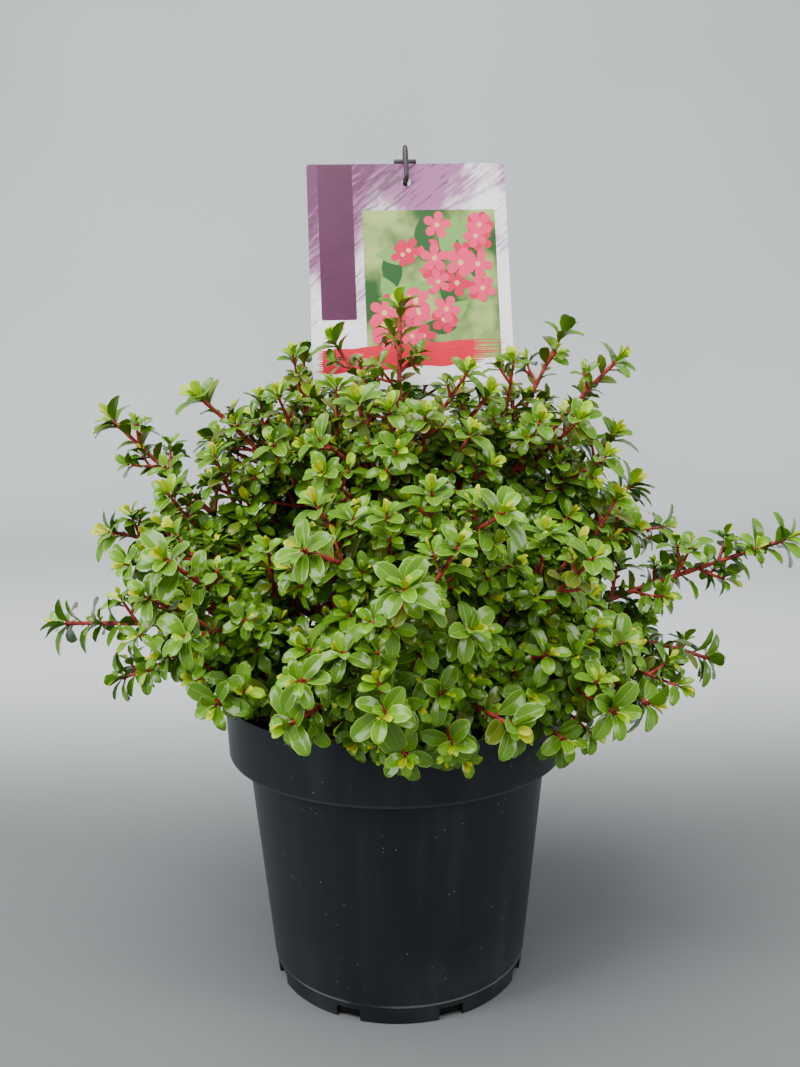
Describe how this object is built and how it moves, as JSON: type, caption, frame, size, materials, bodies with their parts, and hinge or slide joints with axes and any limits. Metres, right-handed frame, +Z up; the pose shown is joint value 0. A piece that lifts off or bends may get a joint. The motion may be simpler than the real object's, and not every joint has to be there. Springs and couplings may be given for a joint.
{
  "type": "potted flowering shrub",
  "caption": "Low evergreen shrub with red shoots and glossy leaves in a round black nursery pot, with a picture card on a hooked stem.",
  "frame": {"origin": "centre of the pot's flat underside", "axes": "+Z up, +X to the right and -Y to the front, the side from which the picture card is read"},
  "size_m": [0.4804, 0.3965, 0.5452],
  "materials": {
    "pot": "black, satin moulded plastic",
    "compost": "dark moist compost with bark chips",
    "bark": "thin reddish brown bark",
    "foliage": "glossy green leaves on crimson twigs",
    "card": "printed plastic card",
    "stem_plastic": "dark moulded plastic"
  },
  "bodies": {
    "root": {"bough_back": "bark", "bough_back_high": "bark", "bough_front": "bark", "bough_front_high": "bark", "bough_front_right": "bark", "bough_left": "bark", "bough_left_back": "bark", "bough_left_front": "bark", "bough_left_high": "bark", "bough_right": "bark", "bough_right_high": "bark", "bough_right_low": "bark", "bough_top": "bark", "card": "card", "card_stem": "stem_plastic", "foliage_back_low_left": "foliage", "foliage_back_low_right": "foliage", "foliage_back_middle": "foliage", "foliage_back_shoulder": "foliage", "foliage_back_top": "foliage", "foliage_crown_top": "foliage", "foliage_front_centre": "foliage", "foliage_front_left_rim": "foliage", "foliage_front_left_upper": "foliage", "foliage_front_low": "foliage", "foliage_front_right": "foliage", "foliage_front_right_low": "foliage", "foliage_front_right_rim": "foliage", "foliage_front_right_upper": "foliage", "foliage_front_top": "foliage", "foliage_left_back": "foliage", "foliage_left_front": "foliage", "foliage_left_front_low": "foliage", "foliage_left_low": "foliage", "foliage_left_middle": "foliage", "foliage_left_shoulder": "foliage", "foliage_left_spire": "foliage", "foliage_left_top": "foliage", "foliage_left_upper": "foliage", "foliage_right_back": "foliage", "foliage_right_far": "foliage", "foliage_right_front_low": "foliage", "foliage_right_low": "foliage", "foliage_right_middle": "foliage", "foliage_right_outer": "foliage", "foliage_right_shoulder": "foliage", "foliage_right_spire": "foliage", "foliage_right_top": "foliage", "foliage_right_upper": "foliage", "pot": "pot", "soil": "compost", "trunk": "bark"}
  },
  "joints": []
}
